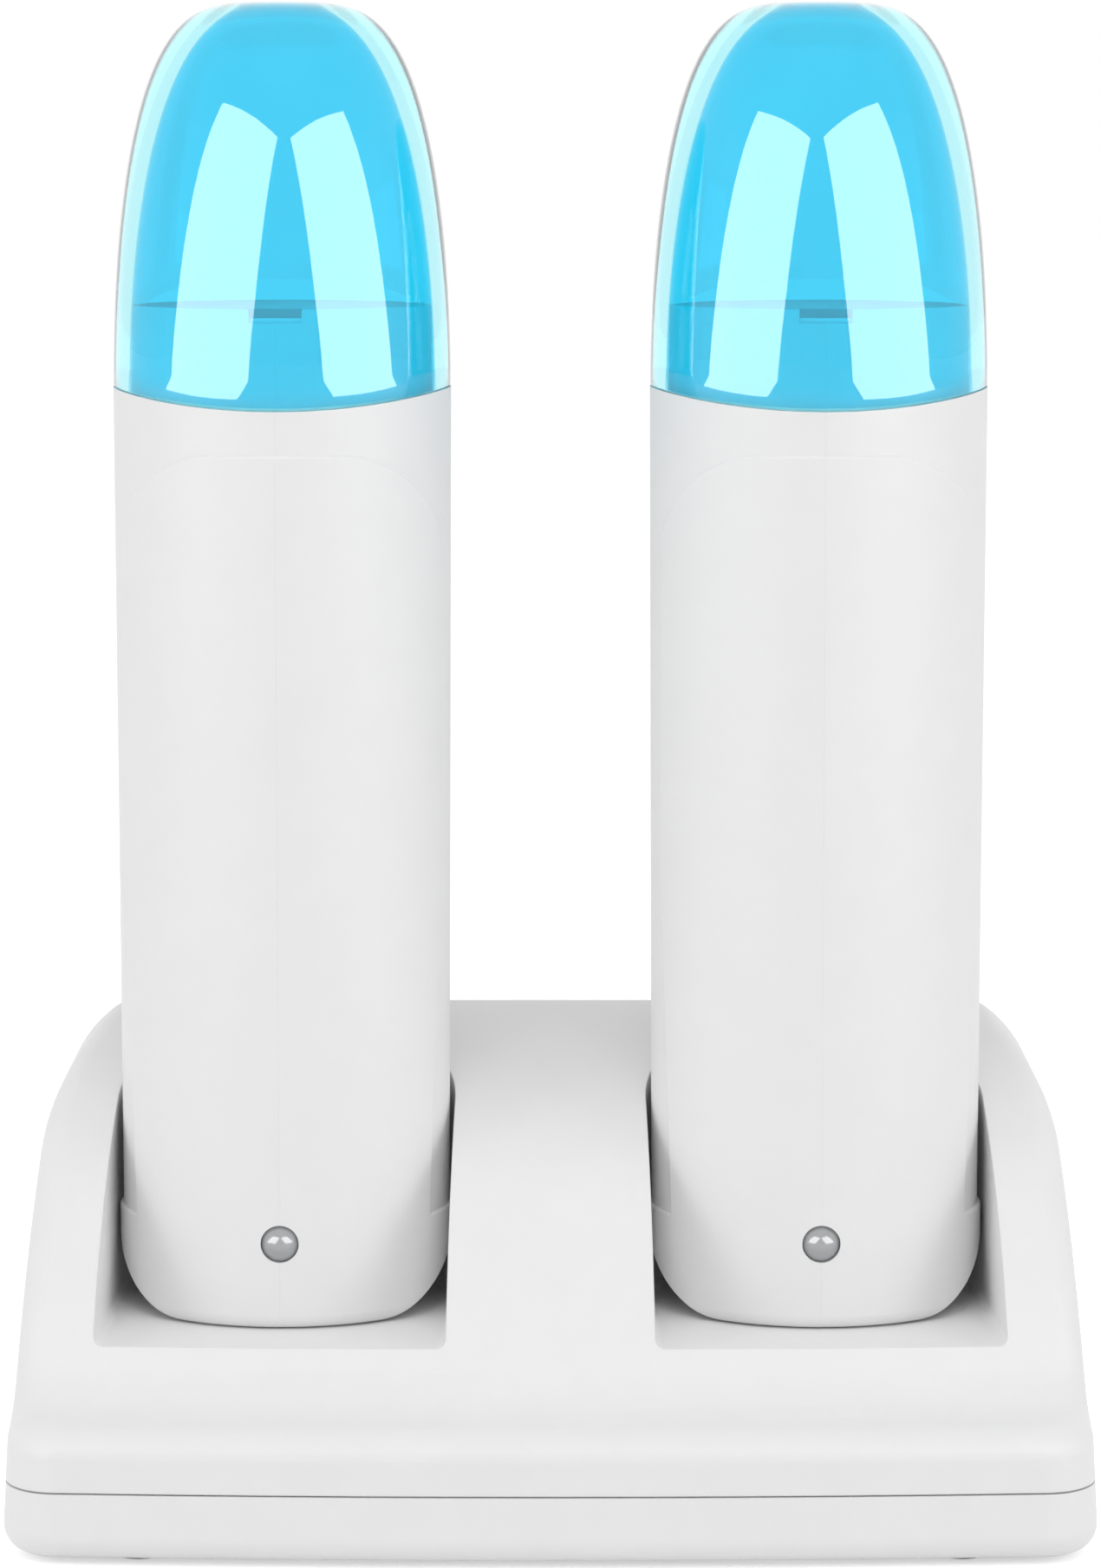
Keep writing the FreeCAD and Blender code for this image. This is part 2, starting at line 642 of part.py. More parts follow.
def indicator_lamp():
    """Domed indicator lens with a flange behind the shells."""
    tip = OVAL * (shell_radius(LAMP_HEIGHT) + PANEL_RISE) + LAMP_PROUD
    back = -board_front()
    radius, flange = LAMP_DIAMETER / 2, LAMP_FLANGE / 2
    shoulder = tip - 2 * LAMP_PROUD
    edges = [Part.LineSegment(vec(a, 0, b), vec(c, 0, d)).toShape() for a, b, c, d in (
        (0, back, flange, back),
        (flange, back, flange, back + LAMP_FLANGE_THICKNESS),
        (flange, back + LAMP_FLANGE_THICKNESS, radius, back + LAMP_FLANGE_THICKNESS),
        (radius, back + LAMP_FLANGE_THICKNESS, radius, shoulder),
        (0, tip, 0, back),
    )]
    ball = (radius ** 2 + (tip - shoulder) ** 2) / 2 / (tip - shoulder)
    bend = math.asin(radius / ball) / 2
    crown = vec(ball * math.sin(bend), 0, tip - ball + ball * math.cos(bend))
    edges.insert(4, Part.Arc(vec(radius, 0, shoulder), crown, vec(0, 0, tip)).toShape())
    lamp = Part.Face(Part.Wire(edges)).revolve(vec(0, 0, 0), vec(0, 0, 1), 360)
    lamp.rotate(vec(0, 0, 0), vec(1, 0, 0), 90)
    lamp.translate(vec(0, 0, LAMP_HEIGHT))
    return lamp


def lamp_board():
    """Small circuit board behind the lamp."""
    face = board_front()
    return box(-BOARD_WIDTH / 2, BOARD_WIDTH / 2, face, face + BOARD_THICKNESS,
               LAMP_HEIGHT - BOARD_HEIGHT / 2, LAMP_HEIGHT + BOARD_HEIGHT / 2)


def pin_places():
    """X of the two power pins."""
    return (-PIN_PITCH / 2, PIN_PITCH / 2)


def inlet_block():
    """Insulating block with the recess that drops over the dock's tower."""
    roof = TOWER_HEIGHT + TOWER_HEADROOM
    block = inlet_outline(TOWER_FIT + INLET_WALL, SHELL_BOTTOM, INLET_TOP)
    block = block.cut(inlet_outline(TOWER_FIT, 0, roof))
    for x in pin_places():
        block = block.cut(rod(vec(x, 0, 0), vec(0, 0, 1), PIN_DIAMETER + 2 * PIN_FIT, FAR))
    return block


def inlet_pins():
    """Two power pins that reach down into the dock's sleeves."""
    length = INLET_TOP + PIN_TAIL - PIN_TIP
    return [rod(vec(x, 0, PIN_TIP), vec(0, 0, 1), PIN_DIAMETER, length) for x in pin_places()]


def lead_wires():
    """Two supply wires up to the element and the fuse, and two thin ones from the pins to the lamp board."""
    tail = INLET_TOP + PIN_TAIL
    left, right = pin_places()
    tab_low = CUP_FLOOR - PTC_THICKNESS / 2 - PTC_TAB_THICKNESS / 2
    tab_y = -PTC_WIDTH / 2 - PTC_TAB_LENGTH / 2
    fuse = fuse_place()
    lead_x = fuse.x + FUSE_LENGTH + FUSE_LENGTH / 4
    lead_low = fuse.z - FUSE_LEAD / 2 - FIT / 4
    wires = []
    for pin, x, y, top in ((left, -PTC_TAB_X, tab_y, tab_low), (right, lead_x, fuse.y, lead_low)):
        points = [vec(pin, 0, tail), vec(pin, 0, tail + TERMINAL_RUN),
                  vec(x, y, top - TERMINAL_RUN), vec(x, y, top)]
        wires.append(wire_run(points, WIRE_DIAMETER))
    board_back = board_front() + BOARD_THICKNESS + FIT / 2
    pin_front = -PIN_DIAMETER / 2 - FIT / 2
    third = (pin_front - board_back) / 3
    level = INLET_TOP + PIN_TAIL / 2
    for pin in (left, right):
        pad = pin * BOARD_WIDTH / 4 / PIN_PITCH
        points = [vec(pad, board_back, level), vec(pad, board_back + third, level),
                  vec(pin, pin_front - third, level), vec(pin, pin_front, level)]
        wires.append(wire_run(points, LAMP_WIRE_DIAMETER))
    return wires


def shell_screws():
    """Two screws that draw the half shells together, at the back of the right flank."""
    head_top = HEATER_WIDTH / 2 - SHELL_SCREW_SINK
    places = [vec(head_top, SHELL_SCREW_OFFSET, height) for height in SHELL_SCREW_HEIGHTS]
    return [screw(place, (-1, 0, 0), SHELL_SCREW_HEAD, SHELL_SCREW_HEAD_HEIGHT, SHELL_SCREW_SHANK,
                  head_top + SHELL_SCREW_GRIP) for place in places]


def heater_pieces():
    """All pieces of one heater, standing on the origin."""
    left, right = half_shells()
    return {
        "shell_left": left,
        "shell_right": right,
        "cap": cap_shell(),
        "heating_cup": heating_cup(),
        "ptc_heater": ptc_heater(),
        "heater_strap": heater_strap(),
        "thermal_fuse": thermal_fuse(),
        "indicator_lamp": indicator_lamp(),
        "lamp_board": lamp_board(),
        "inlet_block": inlet_block(),
        "inlet_pins": Part.makeCompound(inlet_pins()),
        "lead_wires": Part.makeCompound(lead_wires()),
        "shell_screws": Part.makeCompound(shell_screws()),
    }


def well(side, wall=0.0):
    """Pocket that takes a heater, open to the front and the top, or with a wall its outside."""
    half = shell_radius(0) + PANEL_RISE + WELL_CLEARANCE + wall
    floor = WELL_FLOOR - wall
    reach = BASE_DEPTH / 2 + WELL_SETBACK
    mouth = sorted((SIDES[side] * (half + MOUTH_FLARE), -SIDES[side] * (half - MOUTH_TAPER)))
    back = Part.ArcOfEllipse(Part.Ellipse(vec(0, 0, floor), half, half * OVAL), 0, math.pi).toShape()
    run = [(-half, 0), (mouth[0], -reach), (mouth[1], -reach), (half, 0)]
    sides = Part.makePolygon([vec(x, y, floor) for x, y in run])
    pocket = Part.Face(Part.Wire([back] + sides.Edges)).extrude(vec(0, 0, FAR))
    if not wall:
        low_edges = [e for e in pocket.Edges if e.BoundBox.ZMax < floor + OVERRUN]
        pocket = pocket.makeFillet(WELL_EDGE_RADIUS, [e for e in low_edges if e.BoundBox.YMax > -OVERRUN])
    return pocket.translated(dock_places()[side])


def dock_places():
    """Axis of each well on the table."""
    return {side: vec(sign * WELL_PITCH / 2, WELL_SETBACK, 0) for side, sign in SIDES.items()}


def corner_places(inset_x, inset_y):
    """Four places set in from the base's plan corners."""
    x, y = BASE_WIDTH / 2 - inset_x, BASE_BACK - inset_y
    return [(sx * x, sy * y) for sx in (-1, 1) for sy in (-1, 1)]


def boss_top():
    """Height at which the plate's pillars meet the housing's screw bosses."""
    return SEAM_HEIGHT - BASE_WALL


def mains_opening(grow, y0, y1):
    """Rounded block of the mains inlet's outline, grown all round, between two depths."""
    width, height = MAINS_WIDTH + 2 * grow, MAINS_HEIGHT + 2 * grow
    radius = MAINS_WALL if grow else height / 2
    slab = rounded_slab(width, height, radius, 0, y1 - y0)
    slab.rotate(vec(0, 0, 0), vec(1, 0, 0), -90)
    slab.translate(vec(0, y0, MAINS_CENTRE))
    return slab


def base_housing(form):
    """Upper shell of the base with its two wells, screw bosses and the mains opening at the back."""
    upper = form.common(box(-FAR, FAR, -FAR, FAR, SEAM_HEIGHT + SEAM_GAP, FAR))
    housing = upper.cut(base_form(BASE_WALL))
    for x, y in corner_places(BASE_SCREW_INSET_X, BASE_SCREW_INSET_Y):
        boss = rod(vec(x, y, boss_top()), vec(0, 0, 1), BASE_BOSS_DIAMETER, FAR).common(form)
        hole = rod(vec(x, y, 0), vec(0, 0, 1), BASE_SCREW_SHANK + 2 * PIN_FIT, boss_top() + BASE_SCREW_LENGTH)
        housing = housing.fuse(boss).cut(hole)
    for side in SIDES:
        housing = housing.fuse(well(side, WELL_WALL).common(upper))
    for side, place in dock_places().items():
        tower = rounded_slab(TOWER_WIDTH + 2 * FIT, TOWER_DEPTH + 2 * FIT, TOWER_CORNER,
                             0, WELL_FLOOR + OVERRUN, place.x, place.y)
        housing = housing.cut([well(side), tower])
    return housing.cut(mains_opening(MAINS_WALL + FIT, BASE_BACK - 2 * BASE_WALL, FAR))


def base_plate(form):
    """Bottom pan with a lip inside the seam, screw pillars, foot recesses and dock posts."""
    inside = base_form(BASE_WALL)
    floor = BASE_BOTTOM + BASE_WALL
    plate = form.common(box(-FAR, FAR, -FAR, FAR, 0, SEAM_HEIGHT)).cut(inside)
    within = base_form(BASE_WALL + FIT + LIP_WALL)
    root = inside.cut(within).common(box(-FAR, FAR, -FAR, FAR, SEAM_HEIGHT - LIP_HEIGHT, SEAM_HEIGHT))
    lip = base_form(BASE_WALL + FIT).cut(within)
    lip = lip.common(box(-FAR, FAR, -FAR, FAR, SEAM_HEIGHT - OVERRUN, SEAM_HEIGHT + LIP_HEIGHT))
    plate = plate.fuse(root).fuse(lip)
    seat = BASE_BOTTOM + BASE_WALL + BASE_SCREW_HEAD_HEIGHT
    up = vec(0, 0, 1)
    for x, y in corner_places(BASE_SCREW_INSET_X, BASE_SCREW_INSET_Y):
        pillar = rod(vec(x, y, BASE_BOTTOM), up, BASE_BOSS_DIAMETER, boss_top() - BASE_BOTTOM)
        plate = plate.fuse(pillar)
        plate = plate.cut(rod(vec(x, y, 0), up, BASE_SCREW_HEAD + 2 * FIT, seat))
        plate = plate.cut(rod(vec(x, y, 0), up, BASE_SCREW_SHANK + 2 * FIT, FAR))
    for x, y in corner_places(FOOT_INSET_X, FOOT_INSET_Y):
        plate = plate.cut(rod(vec(x, y, 0), up, FOOT_DIAMETER + 2 * FIT, BASE_BOTTOM + FOOT_SINK))
    post, depth = TOWER_WIDTH / 2, TOWER_DEPTH / 2
    for place in dock_places().values():
        for x in (place.x - post, place.x + post - POST_WALL):
            plate = plate.fuse(box(x, x + POST_WALL, place.y - depth, place.y + depth,
                                   floor - BASE_WALL / 2, dock_bottom()))
    return plate


def dock_bottom():
    """Height of the underside of a dock connector."""
    return WELL_FLOOR - WELL_WALL - DOCK_FLANGE_THICKNESS - DOCK_DROP


def dock_connector():
    """Insulating tower that stands up through a well's floor, with its flange under the floor."""
    under = WELL_FLOOR - WELL_WALL
    top = WELL_FLOOR + TOWER_HEIGHT
    tower = rounded_slab(TOWER_WIDTH, TOWER_DEPTH, TOWER_CORNER, dock_bottom(), top)
    flange = rounded_slab(TOWER_WIDTH + 2 * DOCK_FLANGE, TOWER_DEPTH + 2 * DOCK_FLANGE, TOWER_CORNER,
                          under - DOCK_FLANGE_THICKNESS, under)
    dock = tower.fuse(flange)
    sleeve = PIN_DIAMETER + 2 * (SLEEVE_FIT + SLEEVE_WALL + PIN_FIT)
    for x in pin_places():
        dock = dock.cut(rod(vec(x, 0, 0), vec(0, 0, 1), sleeve, top - SLEEVE_CAP))
        dock = dock.cut(rod(vec(x, 0, 0), vec(0, 0, 1), PIN_DIAMETER + 2 * SLEEVE_FIT, FAR))
    return dock


def dock_sockets():
    """Two brass sleeves that take a heater's pins, closed below where the wires are soldered."""
    low = dock_bottom() - SLEEVE_TAIL
    top = WELL_FLOOR + TOWER_HEIGHT - SLEEVE_CAP
    sleeves = []
    for x in pin_places():
        sleeve = rod(vec(x, 0, low), vec(0, 0, 1), PIN_DIAMETER + 2 * (SLEEVE_FIT + SLEEVE_WALL), top - low)
        bore = rod(vec(x, 0, WELL_FLOOR - WELL_WALL), vec(0, 0, 1), PIN_DIAMETER + 2 * SLEEVE_FIT, FAR)
        sleeves.append(sleeve.cut(bore))
    return sleeves


def mains_back():
    """Y of the mains inlet's inner end."""
    return BASE_BACK - MAINS_DEPTH - MAINS_BACK


def mains_inlet():
    """Two-pole appliance inlet set into the back wall, with a flange inside."""
    face = BASE_BACK - BASE_WALL / 4
    block = mains_opening(MAINS_WALL, mains_back(), face)
    inner = BASE_BACK - BASE_WALL
    block = block.fuse(mains_opening(MAINS_WALL + MAINS_FLANGE, inner - MAINS_FLANGE_THICKNESS, inner))
    block = block.cut(mains_opening(0, BASE_BACK - MAINS_DEPTH, FAR))
    for x in pin_places():
        block = block.cut(rod(vec(x, 0, MAINS_CENTRE), vec(0, 1, 0), PIN_DIAMETER + 2 * PIN_FIT, FAR))
    return block


def mains_inlet_pins():
    """Two pins of the mains inlet, with tails for the wiring."""
    start = mains_back() - PIN_TAIL
    length = BASE_BACK - MAINS_PIN_SINK - start
    return [rod(vec(x, start, MAINS_CENTRE), vec(0, 1, 0), PIN_DIAMETER, length) for x in pin_places()]


def base_wires():
    """Four wires: a feed from each mains pin to the near dock and a link on to the far dock."""
    tail_y = mains_back() - PIN_TAIL
    solder = dock_bottom() - SLEEVE_TAIL
    side_z = dock_bottom() - SLEEVE_TAIL / 2
    low = (BASE_BOTTOM + BASE_WALL + solder) / 2
    near, far = WELL_PITCH / 2 - PIN_PITCH / 2, WELL_PITCH / 2 + PIN_PITCH / 2
    edge = PIN_DIAMETER / 2 + SLEEVE_FIT + SLEEVE_WALL + FIT / 4
    out = edge + TERMINAL_RUN
    y = WELL_SETBACK
    wires = []
    for sign in (-1, 1):
        pin = sign * PIN_PITCH / 2
        home, away = sign * near, -sign * far
        feed = [vec(pin, tail_y, MAINS_CENTRE), vec(pin, tail_y - TERMINAL_RUN, MAINS_CENTRE),
                vec(home, y + TERMINAL_RUN, low), vec(home, y, low), vec(home, y, solder)]
        turn_x, turn_y = sign * LINK_TURN, y + sign * LINK_SPREAD
        link = [vec(home, y + sign * edge, side_z), vec(home, y + sign * out, side_z),
                vec(turn_x, turn_y, low), vec(-turn_x, turn_y, low),
                vec(away, y + sign * out, side_z), vec(away, y + sign * edge, side_z)]
        wires += [wire_run(feed, WIRE_DIAMETER), wire_run(link, WIRE_DIAMETER)]
    return wires


def base_screws():
    """Four screws up through the plate into the housing."""
    low = BASE_BOTTOM + BASE_WALL
    return [screw(vec(x, y, low), (0, 0, 1), BASE_SCREW_HEAD, BASE_SCREW_HEAD_HEIGHT, BASE_SCREW_SHANK,
                  BASE_SCREW_LENGTH) for x, y in corner_places(BASE_SCREW_INSET_X, BASE_SCREW_INSET_Y)]


def rubber_feet():
    """Four round feet pressed into recesses in the plate."""
    feet = []
    for x, y in corner_places(FOOT_INSET_X, FOOT_INSET_Y):
        foot = rod(vec(x, y, 0), vec(0, 0, 1), FOOT_DIAMETER, BASE_BOTTOM + FOOT_SINK)
        feet.append(foot.makeChamfer(FOOT_RISE / 2, [e for e in foot.Edges if e.BoundBox.ZMax < TINY * 10]))
    return feet


def base_pieces():
    """All pieces of the base."""
    form = base_form()
    pieces = {
        "base_housing": base_housing(form),
        "base_plate": base_plate(form),
        "base_screws": Part.makeCompound(base_screws()),
        "rubber_feet": Part.makeCompound(rubber_feet()),
        "mains_inlet": mains_inlet(),
        "mains_inlet_pins": Part.makeCompound(mains_inlet_pins()),
        "base_wires": Part.makeCompound(base_wires()),
    }
    dock = {"dock_connector": dock_connector(), "dock_sockets": Part.makeCompound(dock_sockets())}
    for side, place in dock_places().items():
        for name, shape in dock.items():
            pieces[f"{side}_{name}"] = shape.translated(place)
    return pieces


def main():
    """Builds every piece in place and writes one STEP file each."""
    os.makedirs("parts", exist_ok=True)
    pieces = base_pieces()
    heater = heater_pieces()
    for side, place in dock_places().items():
        for name, shape in heater.items():
            pieces[f"{side}_{name}"] = shape.translated(place + vec(0, 0, HEATER_BOTTOM))
    for name, shape in pieces.items():
        shape.exportStep(f"parts/{name}.step")
        print(name, len(shape.Solids), shape.isValid(), round(shape.Volume, 1))


main()
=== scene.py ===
"""Studio picture of a double roll-on wax heater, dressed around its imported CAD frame.

Two white hand heaters with clear blue caps stand in a white docking base. All sizes are metres in
the CAD frame: +Z up, the front faces -Y, and the origin lies on the table under the base.
"""

import json
import logging
import math
from dataclasses import dataclass, field
from enum import Enum

import bpy
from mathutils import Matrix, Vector


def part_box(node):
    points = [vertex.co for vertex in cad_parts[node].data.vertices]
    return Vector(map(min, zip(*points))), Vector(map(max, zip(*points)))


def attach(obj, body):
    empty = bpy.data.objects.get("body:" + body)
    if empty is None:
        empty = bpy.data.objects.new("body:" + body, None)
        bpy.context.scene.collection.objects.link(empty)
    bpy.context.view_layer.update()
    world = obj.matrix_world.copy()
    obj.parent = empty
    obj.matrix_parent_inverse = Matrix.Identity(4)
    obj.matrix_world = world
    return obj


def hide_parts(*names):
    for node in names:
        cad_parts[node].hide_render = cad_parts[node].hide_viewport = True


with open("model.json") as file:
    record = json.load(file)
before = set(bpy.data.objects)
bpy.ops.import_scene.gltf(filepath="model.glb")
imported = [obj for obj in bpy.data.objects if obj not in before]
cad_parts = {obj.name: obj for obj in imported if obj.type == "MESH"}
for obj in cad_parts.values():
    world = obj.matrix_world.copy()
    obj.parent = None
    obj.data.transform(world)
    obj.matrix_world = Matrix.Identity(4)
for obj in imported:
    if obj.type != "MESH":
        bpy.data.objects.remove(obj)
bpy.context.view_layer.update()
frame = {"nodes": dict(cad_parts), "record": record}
LOG = logging.getLogger("wax_heater")
Colour = tuple[float, float, float]
AxisScale = tuple[float, float, float]
Direction = tuple[float, float]
Materials = dict[str, bpy.types.Material]
Outline = list[tuple[float, float]]
WHITE = (1.0, 1.0, 1.0, 1.0)


class Side(Enum):
    """The two heaters, named as seen from the front."""

    LEFT = "left"
    RIGHT = "right"

    @property
    def sign(self) -> int:
        """Direction of this side along X."""
        return 1 if self is Side.RIGHT else -1

    def node(self, piece: str) -> str:
        """Name of this side's CAD node or body for a piece."""
        return f"{self.value}_{piece}"


class NodeSheet:
    """Thin layer over one material's node tree that adds and links nodes in single calls.

    The Mix node repeats its socket names for each data type, so its colour sockets go by number.

    Attributes:
        NOISE_LOW: Noise value that counts as low.
        NOISE_HIGH: Noise value that counts as high.
        MIX_FIRST: Number of the Mix node's first colour socket.
        MIX_SECOND: Number of its second colour socket.
        MIX_RESULT: Number of its colour output.
    """

    NOISE_LOW = 0.3
    NOISE_HIGH = 0.7
    MIX_FIRST = 6
    MIX_SECOND = 7
    MIX_RESULT = 2

    def __init__(self, name: str) -> None:
        """Makes an empty material with its output node.

        Args:
            name: Name of the material.
        """
        self.material = bpy.data.materials.new(name)
        self.material.use_nodes = True
        self.tree = self.material.node_tree
        self.tree.nodes.clear()
        self.output = self.tree.nodes.new("ShaderNodeOutputMaterial")

    def add(self, kind: str, inputs: dict[str, object] | None = None, **settings: object) -> bpy.types.Node:
        """Adds a node and fills its sockets.

        Args:
            kind: Node type without the ShaderNode prefix.
            inputs: Socket name to a constant, or to an output socket that is linked to it.
            **settings: Properties of the node itself.

        Returns:
            The new node.
        """
        node = self.tree.nodes.new("ShaderNode" + kind)
        for key, value in settings.items():
            setattr(node, key, value)
        for key, value in (inputs or {}).items():
            if isinstance(value, bpy.types.NodeSocket):
                self.tree.links.new(value, node.inputs[key])
            else:
                node.inputs[key].default_value = value
        return node

    def grain(self, scale: float, stretch: AxisScale, detail: float = 3.0) -> bpy.types.NodeSocket:
        """Noise fixed to the object, stretched along its axes.

        Args:
            scale: Noise cells per metre.
            stretch: Factor on the scale along X, Y and Z.
            detail: Octaves of the noise.

        Returns:
            The noise value's socket.
        """
        place = self.add("TexCoord").outputs["Object"]
        mapped = self.add("Mapping", {"Vector": place, "Scale": stretch}).outputs["Vector"]
        return self.add("TexNoise", {"Vector": mapped, "Scale": scale, "Detail": detail}).outputs["Fac"]

    def span(self, value: bpy.types.NodeSocket, low: float, high: float) -> bpy.types.NodeSocket:
        """Maps the middle part of a noise value to a range.

        Args:
            value: Socket with values about one half.
            low: Result where the noise is low.
            high: Result where the noise is high.

        Returns:
            The mapped value's socket.
        """
        return self.add("MapRange", {
            "Value": value,
            "From Min": self.NOISE_LOW,
            "From Max": self.NOISE_HIGH,
            "To Min": low,
            "To Max": high,
        }).outputs["Result"]

    def blend(self, value: bpy.types.NodeSocket, first: Colour, second: Colour) -> bpy.types.NodeSocket:
        """Mixes two colours by a noise value.

        Args:
            value: Socket with values about one half.
            first: Colour where the noise is low.
            second: Colour where the noise is high.

        Returns:
            The mixed colour's socket.
        """
        mix = self.add("Mix", {"Factor": self.span(value, 0.0, 1.0)}, data_type="RGBA")
        mix.inputs[self.MIX_FIRST].default_value = (*first, 1.0)
        mix.inputs[self.MIX_SECOND].default_value = (*second, 1.0)
        return mix.outputs[self.MIX_RESULT]

    def finish(self, shader: bpy.types.Node) -> bpy.types.Material:
        """Links the shader to the output and returns the material."""
        self.tree.links.new(shader.outputs[0], self.output.inputs["Surface"])
        return self.material


def unlit_share(tree: bpy.types.NodeTree) -> bpy.types.NodeSocket:
    """One for rays from the eye, from mirror-like gloss and through clear plastic, zero for the rest.

    Args:
        tree: Node tree of a stage material or of the world.

    Returns:
        The socket with that value.
    """
    path = tree.nodes.new("ShaderNodeLightPath")
    total = path.outputs["Is Camera Ray"]
    for name in ("Is Glossy Ray", "Is Transmission Ray"):
        either = tree.nodes.new("ShaderNodeMath")
        either.operation = "MAXIMUM"
        tree.links.new(total, either.inputs[0])
        tree.links.new(path.outputs[name], either.inputs[1])
        total = either.outputs[0]
    return total


def ranged(tree: bpy.types.NodeTree, value: bpy.types.NodeSocket,
           low: float, high: float) -> bpy.types.NodeSocket:
    """Maps a value between zero and one to a range.

    Args:
        tree: Node tree that holds the value.
        value: Socket with the value.
        low: Result at zero.
        high: Result at one.

    Returns:
        The mapped value's socket.
    """
    level = tree.nodes.new("ShaderNodeMapRange")
    level.inputs["To Min"].default_value = low
    level.inputs["To Max"].default_value = high
    tree.links.new(value, level.inputs["Value"])
    return level.outputs["Result"]


def add_object(data: bpy.types.ID) -> bpy.types.Object:
    """Adds an object to the scene under the name of its data.

    Args:
        data: Mesh, lamp or camera.

    Returns:
        The new object.
    """
    added = bpy.data.objects.new(data.name, data)
    bpy.context.scene.collection.objects.link(added)
    return added


@dataclass(frozen=True)
class Finish:
    """Surface of one material slot: colour, gloss and grain, with their small natural variation.

    Attributes:
        slot: Name of the material slot.
        colour: Base colour.
        roughness: Middle value of the roughness.
        shade: Factor on the colour where its clouds are darkest.
        uneven: Swing of the roughness to either side.
        grain_scale: Cells of the fine grain per metre.
        cloud_factor: How many times coarser than the grain the clouds are.
        grain_height: Depth of the grain's relief.
        stretch: Factor on the grain along X, Y and Z.
        metallic: One for bare metal, zero for the rest.
        ior: Index of refraction.
        soft_edge: Radius by which edges are shaded round, or zero.
        edge_samples: Samples taken for such edges.
        extra: Constants for other sockets of the shader.
    """

    slot: str
    colour: Colour
    roughness: float
    shade: float = 0.97
    uneven: float = 0.04
    grain_scale: float = 900.0
    cloud_factor: float = 20.0
    grain_height: float = 0.00001
    stretch: AxisScale = (1.0, 1.0, 1.0)
    metallic: float = 0.0
    ior: float = 1.5
    soft_edge: float = 0.0
    edge_samples: int = 6
    extra: dict[str, object] = field(default_factory=dict)

    def make(self) -> bpy.types.Material:
        """Builds the node material.

        Returns:
            The new material.
        """
        sheet = NodeSheet(self.slot)
        darker = tuple(self.shade * c for c in self.colour)
        cloud = sheet.grain(self.grain_scale / self.cloud_factor, self.stretch)
        fine = sheet.grain(self.grain_scale, self.stretch)
        relief: dict[str, object] = {"Height": fine, "Distance": self.grain_height, "Strength": 1.0}
        if self.soft_edge:
            edge = sheet.add("Bevel", {"Radius": self.soft_edge}, samples=self.edge_samples)
            relief["Normal"] = edge.outputs["Normal"]
        shader = sheet.add("BsdfPrincipled", {
            "Base Color": sheet.blend(cloud, darker, self.colour),
            "Roughness": sheet.span(fine, self.roughness - self.uneven, self.roughness + self.uneven),
            "Normal": sheet.add("Bump", relief).outputs["Normal"],
            "Metallic": self.metallic,
            "IOR": self.ior,
            **self.extra,
        })
        return sheet.finish(shader)


MOULDED: dict[str, object] = {
    "shade": 0.985, "uneven": 0.02, "grain_scale": 2600.0, "grain_height": 0.000002,
    "extra": {"Specular IOR Level": 0.16},
}
CLEAR: dict[str, object] = {"roughness": 0.02, "uneven": 0.01, "ior": 1.15, "grain_height": 0.0}


def finishes() -> list[Finish]:
    """All finishes of the object: one for each material slot of the record, and the caps' inner face.

    Returns:
        The finishes.
    """
    return [
        Finish("shell_white", (0.80, 0.80, 0.80), 0.48, **MOULDED),
        Finish("base_white", (0.80, 0.80, 0.80), 0.48, soft_edge=0.0004, **MOULDED),
        Finish("cap_blue", (0.45, 0.92, 0.98), **CLEAR,
               extra={"Coat Weight": 1.0, "Coat IOR": 1.6, "Coat Roughness": 0.01, "Sheen Weight": 0.5,
                      "Sheen Roughness": 0.3, "Transmission Weight": 1.0}),
        Finish("cap_blue_inside", (0.035, 0.68, 0.96), **CLEAR, extra={"Transmission Weight": 1.0}),
        Finish("cup_aluminium", (0.90, 0.91, 0.92), 0.45, metallic=1.0, stretch=(1.0, 1.0, 0.05)),
        Finish("element_ceramic", (0.60, 0.36, 0.09), 0.45, shade=0.8),
        Finish("spring_steel", (0.56, 0.57, 0.60), 0.30, metallic=1.0, stretch=(0.05, 1.0, 1.0)),
        Finish("fuse_body", (0.74, 0.74, 0.68), 0.25),
        Finish("lamp_lens", (0.36, 0.37, 0.38), 0.14, extra={"Coat Weight": 0.6, "Coat Roughness": 0.05}),
        Finish("circuit_board", (0.02, 0.12, 0.05), 0.35, shade=0.7),
        Finish("insulator_black", (0.022, 0.022, 0.024), 0.45, shade=0.8),
        Finish("contact_brass", (0.80, 0.56, 0.24), 0.25, metallic=1.0),
        Finish("wire_sleeve", (0.03, 0.03, 0.032), 0.5, shade=0.8),
        Finish("screw_steel", (0.58, 0.58, 0.60), 0.3, metallic=1.0),
        Finish("foot_rubber", (0.03, 0.03, 0.03), 0.7, shade=0.75),
    ]


